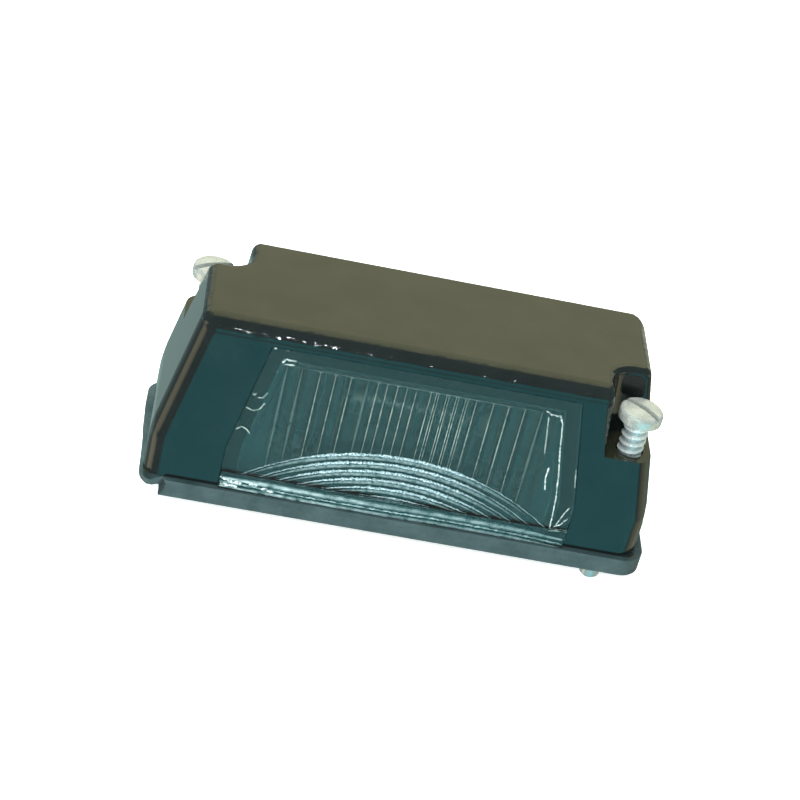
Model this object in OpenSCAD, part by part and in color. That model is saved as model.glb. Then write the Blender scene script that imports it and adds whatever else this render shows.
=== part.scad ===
// Rear number plate lamp: a moulded hood with a clear front lens, on a rubber gasket,
// held by two long screws in opposite corners.
// X runs along the lamp, -Y is the side the light leaves by, and Z points up from the panel.
// The origin is the middle of the two screws, on the underside of the gasket.

/* [Hood] */
// Length of the hood at its foot
hood_foot_len = 106.2; // [96:0.2:120]
// How far each end of the hood leans in above its foot
end_lean = 6.35; // [3:0.05:8]
// Depth of the hood from front to back
hood_depth = 34; // [30:0.5:42]
// Height of the hood above the gasket
hood_h = 40.2; // [36:0.1:48]
// Height above the gasket at which the ends start to lean in
knee_h = 10.1; // [6:0.1:16]
// Wall of the top, back and ends
hood_wall = 2.2; // [1.6:0.1:3]
// Wall of the front, which carries the lens
front_wall = 4.8; // [4:0.1:6]
// Radius of the upright corners
corner_r = 4; // [3:0.1:5]
// Radius of the top edge along the front
front_edge_r = 4; // [3:0.1:5]
// Radius of the top edge along the back
back_edge_r = 1.6; // [0.8:0.1:2.5]

/* [Corner notches] */
// Length of a notch along the top of the hood
notch_len = 8; // [7:0.1:9]
// Depth of a notch from the face of the hood
notch_depth = 11; // [9:0.1:12]
// Height of a notch from its floor to the top of the hood
notch_h = 15.8; // [10:0.1:19]
// Radius of the inner corner of a notch
notch_r = 5; // [1:0.1:6]

/* [Lens] */
// Distance from the foot of the lens to each end of the hood
lens_end = 16.1; // [14:0.1:24]
// How far each side of the lens leans in
lens_side_lean = 5; // [2:0.1:8]
// Distance from the top edge of the lens to the top of the hood
lens_top_gap = 4; // [3:0.1:8]
// Width of the flange that lies on the seat in the hood
lens_flange_w = 3.3; // [2:0.1:4]
// Thickness of the flange
lens_flange_t = 2.1; // [1.6:0.1:2.4]
// Thickness of the pane between its ribs
pane_t = 2.9; // [2.2:0.1:3.2]
// Depth of the lens face behind the front of the hood
lens_recess = 0.1; // [0:0.05:0.4]
// Gap between the lens and its seat, all round
lens_gap = 0.15; // [0.1:0.05:0.4]
// Thickness of the rim behind the pane
rim_t = 1.4; // [1:0.1:2]
// Height of the lip along the foot of the lens
lip_h = 4.3; // [3:0.1:6]
// How far the lip stands out of the lens face
lip_out = 0.6; // [0.3:0.1:1]
// Thickness of the seal under the flange
lens_seal_t = 0.6; // [0.4:0.1:1]
// Length of a snap lug
lug_len = 3; // [2:0.1:5]
// How far a snap lug hooks over the window's edge
lug_hook = 1; // [0.5:0.1:1.5]
// Thickness of a snap lug
lug_t = 1.2; // [0.8:0.1:2]
// Height of the lower snap lugs above the gasket
lug_low_h = 14; // [10:0.5:16]
// Height of the upper snap lugs above the gasket
lug_high_h = 22; // [19:0.5:26]

/* [Lens pattern] */
// Width of a flute in the middle of the lens
flute_w = 2; // [1.5:0.1:3]
// Height of a middle flute's crown
flute_crown = 0.35; // [0.1:0.05:0.5]
// Flutes on each side of the centre line
flute_n = 5; // [3:1:7]
// Width of a flute towards the ends
wide_flute_w = 3.5; // [2.5:0.1:4]
// Height of a wide flute's crown
wide_flute_crown = 0.45; // [0.1:0.05:0.6]
// Wide flutes on each side
wide_flute_n = 5; // [2:1:5]
// Distance from the flutes' top ends to the top edge of the lens
flute_top_gap = 4.7; // [4.2:0.1:10]
// Depth below the panel of the centre of the curved prisms
fan_drop = 35; // [20:1:60]
// Radius of the outermost curved prism
fan_r = 52.8; // [45:0.2:54]
// Width of one curved prism
fan_pitch = 2; // [1.5:0.1:3]
// Height of a curved prism's crest
fan_crest = 0.7; // [0.2:0.05:1]
// Number of curved prisms
fan_n = 6; // [3:1:7]

/* [Gasket] */
// How far the gasket stands out of each end of the hood
gasket_end = 1.9; // [0.5:0.1:6]
// How far the gasket stands out of the hood at its front and back
gasket_side = 1.2; // [0.5:0.1:5]
// Thickness of the gasket
gasket_t = 4; // [3:0.1:6]
// Thickness of the lip along the gasket's upper edge
gasket_lip_t = 1.2; // [0.8:0.1:2]
// Radius of the gasket's corners
gasket_r = 5; // [3:0.1:7]
// Gap from a terminal or rivet to the end of the opening for the terminals
opening_gap = 2.8; // [1:0.1:6]
// Gap from a reflector rivet to the side of that opening
opening_side_gap = 0.4; // [0.2:0.1:1]
// Distance from the end to the far side of the torn corner
tear_x = 5.8; // [4:0.1:8]
// Distance from the front to the far side of the torn corner
tear_y = 5; // [3:0.1:7]

/* [Base plate] */
// Thickness of the base plate
plate_t = 2.5; // [2:0.1:4]
// Gap between the base plate and the hood
plate_gap = 0.2; // [0.1:0.05:0.5]
// Length of the ribs that press on the plate
rib_h = 12; // [6:0.5:16]
// Thickness of those ribs
rib_t = 2; // [1.2:0.1:3]
// Width of those ribs
rib_w = 8; // [4:0.5:12]

/* [Fixing screws] */
// Distance of a screw from the end of the hood
screw_end = 7.6; // [7.2:0.1:9]
// Distance of a screw from the face of the hood
screw_side = 4.7; // [4.5:0.1:5.5]
// Radius over the screw thread
screw_r = 2.75; // [2:0.05:2.8]
// Radius of the screw head
head_r = 4.6; // [3.5:0.1:4.8]
// Height of the screw head
head_h = 3; // [2:0.1:4]
// Radius of the head's upper edge
head_edge_r = 0.9; // [0.3:0.1:1.4]
// Width of the slot
slot_w = 1.3; // [0.8:0.1:2]
// Depth of the slot
slot_d = 1.4; // [0.8:0.1:2]
// Length of a screw below its head
screw_len = 41.3; // [38:0.1:50]
// Radius of the plain pilot at the tip
pilot_r = 2.1; // [1.4:0.05:2.4]
// Length of the pilot with its taper
pilot_len = 5; // [1.5:0.1:6]
// Length of the taper at the tip
tip_h = 0.5; // [0.4:0.1:1]
// Height of the front screw's head above the notch floor, as left unscrewed
front_lift = 7.8; // [0:0.1:9]
// Height of the rear screw's head above the notch floor, as left unscrewed
rear_lift = 7.9; // [0:0.1:9]
// Direction of the front screw's slot
front_slot_turn = -30; // [-90:5:90]
// Direction of the rear screw's slot
rear_slot_turn = 25; // [-90:5:90]
// Gap between a screw and its holes
screw_gap = 0.2; // [0.1:0.05:0.4]
// Wall of the tubes that the screws pass through
boss_wall = 1.4; // [1:0.1:1.6]

/* [Bulb] */
// Length of the festoon bulb over its caps
bulb_len = 36; // [34:0.5:39]
// Radius of the bulb's glass
bulb_r = 5.25; // [4:0.05:6]
// Wall of the glass
glass_t = 0.6; // [0.4:0.1:1]
// Length of one cap with its point
cap_len = 8; // [6:0.1:9]
// Length of the cap's point
cap_point_len = 3; // [2:0.1:4]
// Radius of a cap
cap_r = 3.4; // [3:0.1:4]
// Radius at the tip of a cap
cap_tip_r = 1; // [0.5:0.1:1.5]
// Radius of the glass neck inside a cap
neck_r = 2.9; // [2:0.1:2.95]
// How far the neck reaches into its cap
neck_len = 2; // [1:0.1:3]
// Height of the bulb's axis above the gasket
bulb_h = 17; // [15:0.5:19]
// Distance from the bulb's axis to the inside of the hood's back
bulb_back = 13.8; // [13.3:0.1:16]
// Radius of the filament's lead wire
lead_r = 0.2; // [0.15:0.05:0.4]
// Radius of the filament coil
coil_r = 0.5; // [0.3:0.1:0.8]
// Length of the filament coil
coil_len = 9; // [5:0.5:12]

/* [Contacts and terminals] */
// Thickness of the contact strip
contact_t = 0.6; // [0.4:0.1:0.8]
// Width of the contact strip
contact_w = 8; // [6:0.5:10]
// How far a cap's point passes through its contact, to the contact's outer face
point_out = 0.8; // [0.4:0.1:1.2]
// Height of a contact above the bulb's axis
contact_over = 4.5; // [3.5:0.1:6]
// Length of a contact's foot
foot_len = 10; // [8:0.5:11]
// Clearance round a cap's point in its contact
point_gap = 0.05; // [0.02:0.01:0.2]
// Width of a terminal blade
blade_w = 6.3; // [4.8:0.1:6.4]
// Thickness of a terminal blade
blade_t = 0.8; // [0.5:0.1:1]
// Length of a blade below the base plate
blade_len = 9; // [7:0.5:12]
// Radius of a rivet's shank
rivet_r = 1.5; // [1:0.1:2]
// Radius of a rivet's head
rivet_head_r = 2.6; // [2.2:0.1:3]
// Height of a rivet's head
rivet_head_h = 0.9; // [0.5:0.1:1.2]
// Gap round a rivet in its holes
rivet_gap = 0.05; // [0.02:0.01:0.1]

/* [Reflector] */
// Length of the reflector
reflector_len = 60; // [50:1:64]
// Inner radius of the reflector's trough
reflector_r = 12; // [11:0.1:12.5]
// Thickness of the reflector sheet
reflector_t = 0.6; // [0.4:0.1:0.8]
// How far behind the bulb's axis the trough's edges lie
trough_back = 5; // [4:0.1:6]
// Gap between the top sheet and the inside of the hood's front
visor_gap = 4.2; // [2:0.1:8]
// Depth of the reflector's foot
reflector_foot = 7; // [6:0.1:7.5]
// Distance of a reflector rivet from the reflector's end
reflector_rivet_end = 6; // [4:0.5:9]
// Gap from a reflector rivet's head to the edge of the reflector's foot
reflector_rivet_edge = 0.4; // [0.1:0.1:1]

/* [Hidden] */

$fn = 48;
hull_fn = 32;
past = 1;            // how far a cut runs past the face it cuts
far = 40;            // reach of a cut that leaves the part

hood_top_len = hood_foot_len - 2 * end_lean;
notch_x = hood_top_len / 2 - notch_len;
notch_y = hood_depth / 2 - notch_depth;
notch_floor_h = hood_h - notch_h;
screw_x = hood_foot_len / 2 - screw_end;
screw_y = hood_depth / 2 - screw_side;
gasket_len = hood_foot_len + 2 * gasket_end;
gasket_depth = hood_depth + 2 * gasket_side;

front_y = -hood_depth / 2;
back_y = hood_depth / 2;
foot_z = gasket_t;
top_z = foot_z + hood_h;
knee_z = foot_z + knee_h;
notch_z = foot_z + notch_floor_h;
wall_y = front_y + front_wall;
inner_back_y = back_y - hood_wall;
inner_r = max(corner_r - hood_wall, 0.5);
hole_r = screw_r + screw_gap;
boss_r = hole_r + boss_wall;
plate_z = foot_z + plate_t;

lens_foot_w = hood_foot_len - 2 * lens_end;
lens_top_w = lens_foot_w - 2 * lens_side_lean;
lens_top_z = top_z - lens_top_gap;
flute_top_z = lens_top_z - flute_top_gap;
lens_y = front_y + lens_recess;
flange_back_y = lens_y + lens_flange_t;
pane_back_y = lens_y + pane_t;
seat_y = flange_back_y + lens_seal_t;
lean = (lens_foot_w - lens_top_w) / 2 / (lens_top_z - knee_z);
rim_out = lens_flange_w + lens_gap;
fan_z = -fan_drop;
flute_edge = flute_n * flute_w;
bite = 0.4;          // how far a rib's root is sunk into the pane
flute_steps = 4;     // flats along one flute's crown
fan_root = 0.05;     // height of a curved prism's low edge
lug_root = 3;        // length of a lug's root along the rim

bulb_y = inner_back_y - bulb_back;
bulb_z = foot_z + bulb_h;
cap_x = bulb_len / 2 - cap_len;
cap_step_x = bulb_len / 2 - cap_point_len;
contact_out_x = bulb_len / 2 - point_out;
contact_in_x = contact_out_x - contact_t;
point_slope = (cap_r - cap_tip_r) / cap_point_len;
point_r = cap_tip_r + (bulb_len / 2 - contact_in_x) * point_slope;
rivet_x = contact_out_x + foot_len / 2;
blade_x = contact_out_x + foot_len - blade_t;
visor_front = bulb_y - wall_y - visor_gap;
reflector_rivet_x = reflector_len / 2 - reflector_rivet_end;
reflector_foot_y = bulb_y + trough_back;
reflector_rivet_y = reflector_foot_y + reflector_foot - rivet_head_r
    - reflector_rivet_edge;
trough_end = sqrt(pow(reflector_r, 2) - pow(trough_back, 2));
opening_x = opening_gap + max(blade_x + blade_t, reflector_rivet_x + rivet_head_r);
opening_y = opening_side_gap + reflector_rivet_y - bulb_y + rivet_head_r;

// A slab of an X-Z outline, from y0 back to y1
module along_y(y0, y1) {
    translate([0, y1, 0]) rotate([90, 0, 0]) linear_extrude(y1 - y0) children();
}

// A bar of a Y-Z outline, centred on the middle of the lamp
module along_x(len) {
    translate([-len / 2, 0, 0]) rotate([90, 0, 90]) linear_extrude(len) children();
}

// A rectangle with round corners, from its low corner to its high corner
module round_rect(lo, hi, r) {
    difference() {
        translate(lo) square(hi - lo);
        for (x = [lo[0], hi[0]], y = [lo[1], hi[1]])
            difference() {
                translate([x, y]) square(2 * r, center = true);
                translate([x + (x == lo[0] ? r : -r), y + (y == lo[1] ? r : -r)]) circle(r);
            }
    }
}

// One upper corner of the hood: round in plan by rc and along its top edge by re
module top_corner(rc, re) {
    rotate_extrude($fn = hull_fn) {
        translate([rc - re, 0]) intersection() {
            circle(re, $fn = hull_fn);
            square(re + past);
        }
        translate([0, -past]) square([rc, past]);
        square([rc - re, re]);
    }
}

// The hood's form, drawn in by e at the ends, f at the front, b at the back and t at the top
module hood_form(e, f, b, t, rc, rf, rb, z0) {
    foot_x = hood_foot_len / 2 - e - rc;
    top_x = hood_top_len / 2 - e - rc;
    hull() for (s = [-1, 1]) {
        for (y = [front_y + f + rc, back_y - b - rc])
            translate([s * foot_x, y, z0]) cylinder(r = rc, h = knee_z - z0, $fn = hull_fn);
        translate([s * top_x, front_y + f + rc, top_z - t - rf]) top_corner(rc, rf);
        translate([s * top_x, back_y - b - rc, top_z - t - rb]) top_corner(rc, rb);
    }
}

// The space of the front notch, grown by g on its closed sides
module notch(g) {
    translate([0, 0, notch_z - g]) linear_extrude(far) {
        translate([notch_x + notch_r, -notch_y - notch_r]) circle(notch_r + g);
        translate([notch_x + notch_r, -notch_y + g - far]) square(far);
        translate([notch_x - g, -notch_y - notch_r - far]) square(far);
    }
}

// Both notches: the rear one is the front one turned half round
module notches(g) {
    for (a = [0, 180]) rotate(a) notch(g);
}

// Whatever stands at the front screw, repeated at the rear one
module at_screws() {
    for (a = [0, 180]) rotate(a) translate([screw_x, -screw_y, 0]) children();
}

// The outline of the lens in its front plane, drawn in by d
module lens_outline(d, z0) {
    foot = lens_foot_w / 2 - d;
    top = lens_top_w / 2 - d + lean * d;
    polygon([[-foot, z0], [foot, z0], [foot, knee_z], [top, lens_top_z - d],
        [-top, lens_top_z - d], [-foot, knee_z]]);
}

// Ribs inside the hood that press on the base plate
module plate_ribs() {
    for (s = [-1, 1])
        translate([s * (hood_foot_len / 2 - hood_wall - rib_t / 2), 0, plate_z + rib_h / 2])
            cube([rib_t + past, rib_w, rib_h], center = true);
    for (x = [-1, 1] * (reflector_len / 2 + rib_t))
        translate([x, inner_back_y - rib_t / 2, plate_z + rib_h / 2])
            cube([rib_t, rib_t + past, rib_h], center = true);
}

module hood() {
    color([0.05, 0.07, 0.08]) difference() {
        hood_form(0, 0, 0, 0, corner_r, front_edge_r, back_edge_r, foot_z);
        notches(0);
        difference() {
            hood_form(hood_wall, front_wall, hood_wall, hood_wall,
                inner_r, inner_r, inner_r, foot_z - past);
            notches(hood_wall);
            translate([0, 0, foot_z]) at_screws() cylinder(r = boss_r, h = notch_floor_h);
            plate_ribs();
        }
        at_screws() cylinder(r = hole_r, h = notch_z + past);
        along_y(front_y - past, seat_y) lens_outline(-lens_gap, foot_z - past);
        along_y(seat_y - past, wall_y + past) lens_outline(lens_flange_w, foot_z - past);
    }
}

// The crown of one flute of width w, from x0 on, as points of a shallow curve
function crown(x0, w, c) = [for (k = [0:flute_steps - 1])
    [x0 + w * k / flute_steps, pane_back_y + 4 * c * k * (flute_steps - k) / pow(flute_steps, 2)]];

// The flutes' section: wide crowns towards the ends and narrow ones between them
module flute_section() {
    wide = [for (i = [0:wide_flute_n - 1], p = crown(i * wide_flute_w, wide_flute_w,
        wide_flute_crown)) p];
    narrow = [for (i = [-flute_n:flute_n - 1], p = crown(i * flute_w, flute_w, flute_crown)) p];
    reach = flute_edge + wide_flute_n * wide_flute_w;
    polygon(concat([[-reach, pane_back_y - bite]],
        [for (p = wide) p - [reach, 0]],
        narrow,
        [for (p = wide) p + [flute_edge, 0]],
        [[reach, pane_back_y], [reach, pane_back_y - bite]]));
}

// All the flutes, cut off inside the outermost curved prism
module flutes() {
    difference() {
        translate([0, 0, foot_z]) linear_extrude(flute_top_z - foot_z) flute_section();
        translate([0, wall_y, fan_z]) rotate([90, 0, 0])
            cylinder(r = fan_r - bite, h = far);
    }
}

// The curved prisms: rings with a sloping face, about a centre below the lamp
module fan() {
    r0 = fan_r - fan_n * fan_pitch;
    translate([0, pane_back_y, fan_z]) rotate([-90, 0, 0]) rotate_extrude($fn = 96)
        polygon(concat([[fan_r, -bite], [r0, -bite]],
            [for (i = [0:fan_n - 1], t = [0, 1])
                [r0 + (i + t) * fan_pitch, t == 0 ? fan_root : fan_crest]]));
}

// Snap lugs that hook over the edge of the window, on both sides
module lens_lugs() {
    for (s = [-1, 1], h = [lug_low_h, lug_high_h]) {
        z = foot_z + h;
        half = lens_foot_w / 2 - rim_out - lean * max(z - knee_z, 0);
        x0 = min(s * (half - rim_t), s * (half + lug_hook));
        translate([x0, wall_y + lens_gap, z]) cube([rim_t + lug_hook, lug_t, lug_len]);
        root = half - lean * lug_len;
        x1 = min(s * root, s * (root - rim_t));
        translate([x1, wall_y - lug_root, z]) cube([rim_t, lug_root + lug_t, lug_len]);
    }
}

module lens() {
    color([0.75, 0.85, 0.85, 0.5]) {
        along_y(lens_y, flange_back_y) lens_outline(0, foot_z);
        along_y(lens_y, pane_back_y) lens_outline(rim_out, foot_z);
        along_y(lens_y - lip_out, lens_y) intersection() {
            lens_outline(0, foot_z);
            translate([-lens_foot_w, foot_z]) square([2 * lens_foot_w, lip_h]);
        }
        along_y(pane_back_y, wall_y) difference() {
            lens_outline(rim_out, foot_z);
            lens_outline(rim_out + rim_t, foot_z - past);
        }
        intersection() {
            along_y(lens_y, wall_y) lens_outline(rim_out + rim_t / 2, foot_z);
            union() {
                flutes();
                fan();
            }
        }
        lens_lugs();
    }
}

module lens_seal() {
    color([0.1, 0.1, 0.1]) along_y(flange_back_y, seat_y) difference() {
        lens_outline(lens_gap, foot_z);
        lens_outline(lens_flange_w - lens_gap, foot_z - past);
    }
}

// The plan of the base plate, inside the hood's walls
module plate_plan() {
    x = hood_foot_len / 2 - hood_wall - plate_gap;
    round_rect([-x, wall_y + plate_gap], [x, inner_back_y - plate_gap], inner_r);
}

module base_plate() {
    color([0.13, 0.13, 0.14]) difference() {
        translate([0, 0, foot_z]) linear_extrude(plate_t) plate_plan();
        at_screws() cylinder(r = boss_r + plate_gap, h = far);
        for (s = [-1, 1]) {
            translate([s * rivet_x, bulb_y, 0]) cylinder(r = rivet_r + rivet_gap, h = far);
            translate([s * reflector_rivet_x, reflector_rivet_y, 0])
                cylinder(r = rivet_r + rivet_gap, h = far);
        }
    }
}

// The plan of the gasket, with its screw holes and the opening for the terminals
module gasket_plan() {
    difference() {
        round_rect([-gasket_len / 2, -gasket_depth / 2], [gasket_len / 2, gasket_depth / 2],
            gasket_r);
        round_rect([-opening_x, bulb_y - opening_y], [opening_x, bulb_y + opening_y], corner_r);
        at_screws() circle(hole_r);
    }
}

// The gasket's front left corner is torn away under its lip
module base_gasket() {
    body_h = gasket_t - gasket_lip_t;
    color([0.22, 0.27, 0.28]) difference() {
        linear_extrude(gasket_t) gasket_plan();
        translate([-gasket_len / 2 - past, -gasket_depth / 2 - past, -past])
            cube([tear_x + past, tear_y + past, body_h + past]);
    }
}

// The reflector is one bent sheet: a visor, a trough behind the bulb and a foot
module reflector() {
    color([0.45, 0.47, 0.47]) difference() {
        along_x(reflector_len) {
            translate([bulb_y, bulb_z]) intersection() {
                difference() {
                    circle(reflector_r + reflector_t, $fn = 96);
                    circle(reflector_r, $fn = 96);
                }
                translate([trough_back, -far / 2]) square(far);
            }
            translate([bulb_y - visor_front, bulb_z + trough_end])
                square([visor_front + trough_back + reflector_t, reflector_t]);
            translate([reflector_foot_y, plate_z])
                square([reflector_t, bulb_z - trough_end - plate_z + reflector_t]);
            translate([reflector_foot_y, plate_z]) square([reflector_foot, reflector_t]);
        }
        for (s = [-1, 1]) translate([s * reflector_rivet_x, reflector_rivet_y, 0])
            cylinder(r = rivet_r + rivet_gap, h = plate_z + reflector_t + past);
    }
}

// A rivet through the base plate, with a head on the sheet above and one below
module rivet(x, y, below, above) {
    grip_low = foot_z - below;
    grip_high = plate_z + above;
    translate([x, y, 0]) {
        translate([0, 0, grip_low]) cylinder(r = rivet_r, h = grip_high - grip_low);
        translate([0, 0, grip_high])
            cylinder(r1 = rivet_head_r, r2 = rivet_r, h = rivet_head_h);
        translate([0, 0, grip_low - rivet_head_h])
            cylinder(r1 = rivet_r, r2 = rivet_head_r, h = rivet_head_h);
    }
}

module reflector_rivet(s) {
    color([0.7, 0.7, 0.7])
        rivet(s * reflector_rivet_x, reflector_rivet_y, 0, reflector_t);
}

module contact_rivet(s) {
    color([0.7, 0.7, 0.7]) rivet(s * rivet_x, bulb_y, blade_t, contact_t);
}

// A contact strip with its foot on the base plate and a hole for the cap's point
module contact(s) {
    tall = bulb_z + contact_over - plate_z;
    color([0.78, 0.62, 0.3]) mirror([s < 0 ? 1 : 0, 0, 0]) difference() {
        union() {
            translate([contact_in_x, bulb_y - contact_w / 2, plate_z])
                cube([contact_t, contact_w, tall]);
            translate([contact_in_x, bulb_y - contact_w / 2, plate_z])
                cube([foot_len + contact_t, contact_w, contact_t]);
        }
        translate([contact_in_x - past, bulb_y, bulb_z]) rotate([0, 90, 0])
            cylinder(r = point_r + point_gap, h = contact_t + 2 * past);
        translate([rivet_x, bulb_y, plate_z - past])
            cylinder(r = rivet_r + rivet_gap, h = contact_t + 2 * past);
    }
}

// A terminal: a foot under the base plate and a blade that points down
module terminal(s) {
    color([0.78, 0.65, 0.35]) mirror([s < 0 ? 1 : 0, 0, 0]) difference() {
        union() {
            translate([contact_out_x, bulb_y - blade_w / 2, foot_z - blade_t])
                cube([foot_len, blade_w, blade_t]);
            translate([blade_x, bulb_y - blade_w / 2, foot_z - blade_len])
                cube([blade_t, blade_w, blade_len]);
        }
        translate([rivet_x, bulb_y, foot_z - blade_t - past])
            cylinder(r = rivet_r + rivet_gap, h = blade_t + 2 * past);
    }
}

// Half of the glass outline, as radius against distance along the bulb
module glass_half() {
    shoulder = bulb_r - neck_r;
    difference() {
        union() {
            square([bulb_r, cap_x - shoulder]);
            translate([neck_r, cap_x - shoulder]) intersection() {
                circle(shoulder);
                square(shoulder);
            }
            square([neck_r, cap_x + neck_len]);
        }
        square([bulb_r - glass_t, cap_x - shoulder]);
        translate([neck_r - glass_t, cap_x - shoulder]) intersection() {
            circle(shoulder);
            square(shoulder);
        }
        square([neck_r - glass_t, cap_x]);
        square([lead_r + rivet_gap, cap_x + neck_len + past]);
    }
}

module bulb_glass() {
    color([0.9, 0.95, 0.95, 0.4]) translate([0, bulb_y, bulb_z]) rotate([0, 90, 0])
        rotate_extrude() {
            glass_half();
            mirror([0, 1]) glass_half();
        }
}

// A cap with a socket for the glass neck and a conical point
module bulb_cap(s) {
    socket_len = neck_len + rivet_gap;
    color([0.75, 0.72, 0.65]) translate([0, bulb_y, bulb_z]) rotate([0, s * 90, 0])
        difference() {
            union() {
                translate([0, 0, cap_x]) cylinder(r = cap_r, h = cap_step_x - cap_x);
                translate([0, 0, cap_step_x])
                    cylinder(r1 = cap_r, r2 = cap_tip_r, h = cap_point_len);
            }
            translate([0, 0, cap_x - past])
                cylinder(r = neck_r + rivet_gap, h = socket_len + past);
        }
}

module bulb_filament() {
    lead = 2 * (cap_x + neck_len);
    color([0.5, 0.5, 0.5]) translate([0, bulb_y, bulb_z]) rotate([0, 90, 0]) {
        cylinder(r = lead_r, h = lead, center = true);
        cylinder(r = coil_r, h = coil_len, center = true);
    }
}

// A slotted pan head screw, its head lifted off the notch floor
module fixing_screw(lift, turn) {
    under_head = notch_z + lift;
    tip_z = under_head - screw_len;
    color([0.78, 0.78, 0.74]) translate([screw_x, -screw_y, 0]) {
        translate([0, 0, tip_z]) cylinder(r1 = pilot_r - tip_h, r2 = pilot_r, h = tip_h);
        translate([0, 0, tip_z + tip_h]) cylinder(r = pilot_r, h = pilot_len - tip_h);
        translate([0, 0, tip_z + pilot_len]) cylinder(r = screw_r, h = screw_len - pilot_len);
        translate([0, 0, under_head]) difference() {
            rotate_extrude() {
                square([head_r, head_h - head_edge_r]);
                square([head_r - head_edge_r, head_h]);
                translate([head_r - head_edge_r, head_h - head_edge_r]) intersection() {
                    circle(head_edge_r);
                    square(head_edge_r);
                }
            }
            rotate(turn) translate([-head_r - past, -slot_w / 2, head_h - slot_d])
                cube([2 * (head_r + past), slot_w, slot_d + past]);
        }
    }
}

module fixing_screw_rear() {
    rotate(180) fixing_screw(rear_lift, rear_slot_turn);
}

hood();
lens();
lens_seal();
base_plate();
base_gasket();
reflector();
reflector_rivet(-1);  // reflector_rivet_left
reflector_rivet(1);  // reflector_rivet_right
contact(-1);  // contact_left
contact(1);  // contact_right
contact_rivet(-1);  // contact_rivet_left
contact_rivet(1);  // contact_rivet_right
terminal(-1);  // terminal_left
terminal(1);  // terminal_right
bulb_glass();
bulb_cap(-1);  // bulb_cap_left
bulb_cap(1);  // bulb_cap_right
bulb_filament();
fixing_screw(front_lift, front_slot_turn);  // fixing_screw_front
fixing_screw_rear();
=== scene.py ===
import math
import random

import bmesh
import bpy
from mathutils import Matrix, Vector


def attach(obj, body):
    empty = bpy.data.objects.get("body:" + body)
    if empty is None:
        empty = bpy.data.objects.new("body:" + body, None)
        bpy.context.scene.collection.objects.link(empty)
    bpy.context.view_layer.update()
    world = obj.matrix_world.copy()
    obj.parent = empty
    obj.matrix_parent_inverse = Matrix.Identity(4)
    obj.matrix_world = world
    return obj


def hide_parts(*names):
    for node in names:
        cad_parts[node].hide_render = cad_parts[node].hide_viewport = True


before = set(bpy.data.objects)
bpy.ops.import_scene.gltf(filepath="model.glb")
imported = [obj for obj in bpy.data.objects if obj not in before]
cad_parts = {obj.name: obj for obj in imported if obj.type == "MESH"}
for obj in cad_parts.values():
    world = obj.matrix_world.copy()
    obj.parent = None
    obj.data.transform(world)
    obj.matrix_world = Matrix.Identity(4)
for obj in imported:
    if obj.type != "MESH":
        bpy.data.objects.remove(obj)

MM = 0.001
NEAR = 0.1

# Hood, in millimetres
FOOT_X, TOP_X = 53.1, 46.75
SIDE_Y = 17.0
FOOT_Z, KNEE_Z, NOTCH_Z, TOP_Z = 4.0, 14.1, 28.4, 44.2
NOTCH_Y, NOTCH_TOP_X, NOTCH_LEAN, NOTCH_R = 6.0, 38.4, 0.0886, 5.0
NOTCH_ROUND = 1.8
NOTCH_FROM_X = 37.0
CUT_PAST_X, CUT_PAST_Y = 70, -40
WALL, FRONT_WALL = 2.2, 4.8
END_SLOPE = (FOOT_X - TOP_X) / (TOP_Z - KNEE_Z)
WIDEST_ROUND = 4.5

# Lens
LENS_FOOT, LENS_TOP, LENS_TOP_Z = 37.0, 32.0, 40.2
LENS_Y, FLANGE_BACK, PANE_BACK, SEAT_Y, WALL_Y = -16.9, -14.8, -14.0, -14.2, -12.2
LENS_GAP, FLANGE_W, RIM_T = 0.15, 3.3, 1.4
LENS_SLOPE = (LENS_FOOT - LENS_TOP) / (LENS_TOP_Z - KNEE_Z)
LIP_OUT, LIP_H, BEAD_SUNK = 0.6, 4.3, 0.03
FAN_Z, FAN_R, FAN_PITCH, FAN_COUNT = -35.0, 52.8, 2.0, 6
FAN_START, FAN_SWEEP, FAN_STEPS = 30, 120, 160
RIB_ROOT = 0.4
PRISM_PROFILE = ((0.0, 0.05), (0.72, 0.26), (0.86, 0.3), (1.0, 0.2))
FLUTE_TOP = 35.5
FLUTE_LINES = (-28.3, -24.8, -21.3, -18.3, -15.0, -11.2, -9.4, -7.5, -5.4, -3.45, -1.4, 1.6, 3.2,
               5.3, 7.25, 9.1, 11.0, 14.6, 17.9, 21.3, 24.8, 28.3)

# Painted highlight lines and glints on the lens face, as x or as (x, z) points
FACE_LINES = (-21.45, -18.3, -15.1, -9.5, -7.6, -5.5, -3.55, -1.6, 1.4, 10.85, 14.4, 17.65, 21.0)
PAIRED_LINES = (2.75, 4.9, 6.9, 8.85)
FAINT_LINES = (-28.3, -25.2, -11.6, 24.6)
FACE_LINE_TOP = 36.35
FAN_WIDE = (-26.0, 20.0)
FACE_FAN_X, FACE_FAN_Z, FACE_FAN_R, FACE_FAN_PITCH, FACE_FAN_LOW = -0.25, -34.2, 53.2, 2.09, 7.9
WINDOW_TOP = ((-28.6, 36.6), (-10.0, 36.6), (10.6, 36.5), (24.9, 36.5))
WINDOW_RIGHT = ((25.2, 37.0), (26.6, 36.3), (28.4, 36.3), (29.3, 34.6), (30.4, 28.2),
                (31.9, 20.7), (32.7, 15.6), (33.3, 8.2))
RIGHT_MARKS = (((29.3, 23.3), (29.2, 20.5), (29.9, 17.6)), ((33.1, 7.6), (37.1, 8.2)),
               ((34.4, 9.3), (35.2, 12.0), (36.1, 14.2)), ((34.0, 8.6), (35.4, 9.6), (36.4, 11.4)))
DIM_MARKS = (((27.5, 26.6), (26.1, 35.6)), ((34.9, 24.0), (35.8, 19.5)))
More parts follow.
